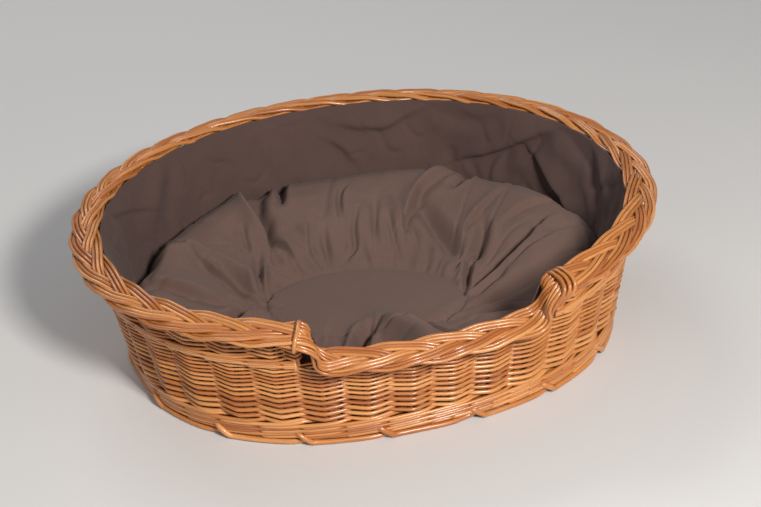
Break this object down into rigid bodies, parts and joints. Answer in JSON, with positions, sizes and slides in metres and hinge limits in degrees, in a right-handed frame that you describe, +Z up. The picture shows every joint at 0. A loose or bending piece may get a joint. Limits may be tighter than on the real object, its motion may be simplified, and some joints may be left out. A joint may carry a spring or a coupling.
{
  "type": "wicker pet bed",
  "caption": "Oval willow basket for a pet, with a flared woven side, a plaited rim that drops at the way in, a cloth liner and a loose dished cushion.",
  "frame": {"origin": "on the floor under the middle of the basket's whole outline", "axes": "+X along the oval's long axis, -Y out through the lowered way in, +Z up"},
  "size_m": [0.7036, 0.5906, 0.1756],
  "materials": {
    "border_willow": "varnished willow rods, orange tan, semi-gloss",
    "side_willow": "varnished willow rods, orange tan, semi-gloss",
    "base_willow": "varnished willow rods, darker, semi-gloss",
    "stick_willow": "straight willow sticks, satin",
    "liner_cloth": "matt brown twill",
    "cushion_cloth": "matt brown twill, gathered"
  },
  "bodies": {
    "basket": {"foot_border": "base_willow", "bottom_wale": "base_willow", "weave_course_1": "side_willow", "weave_course_2": "side_willow", "weave_course_3": "side_willow", "weave_course_4": "side_willow", "weave_course_5": "side_willow", "back_weave_course_1": "side_willow", "back_weave_course_2": "side_willow", "stake_01": "stick_willow", "stake_02": "stick_willow", "stake_03": "stick_willow", "stake_04": "stick_willow", "stake_05": "stick_willow", "stake_06": "stick_willow", "stake_07": "stick_willow", "stake_08": "stick_willow", "stake_09": "stick_willow", "stake_10": "stick_willow", "stake_11": "stick_willow", "stake_12": "stick_willow", "stake_13": "stick_willow", "stake_14": "stick_willow", "stake_15": "stick_willow", "stake_16": "stick_willow", "stake_17": "stick_willow", "stake_18": "stick_willow", "stake_19": "stick_willow", "stake_20": "stick_willow", "stake_21": "stick_willow", "stake_22": "stick_willow", "stake_23": "stick_willow", "stake_24": "stick_willow", "stake_25": "stick_willow", "stake_26": "stick_willow", "stake_27": "stick_willow", "stake_28": "stick_willow", "stake_29": "stick_willow", "stake_30": "stick_willow", "stake_31": "stick_willow", "stake_32": "stick_willow", "stake_33": "stick_willow", "stake_34": "stick_willow", "stake_35": "stick_willow", "stake_36": "stick_willow", "shoulder_stake_right": "stick_willow", "shoulder_stake_left": "stick_willow", "base_short_stick_1": "stick_willow", "base_short_stick_2": "stick_willow", "base_short_stick_3": "stick_willow", "base_short_stick_4": "stick_willow", "base_short_stick_5": "stick_willow", "base_long_stick_1": "stick_willow", "base_long_stick_2": "stick_willow", "base_weave": "base_willow", "border_plait_strand_1": "border_willow", "border_plait_strand_2": "border_willow", "border_plait_strand_3": "border_willow", "liner": "liner_cloth"},
    "cushion": {"cushion": "cushion_cloth"}
  },
  "joints": [
    {"name": "cushion_lift", "type": "slide", "parent": "basket", "child": "cushion", "axis": [0, 0, 1], "range_m": [0, 0.3]}
  ]
}
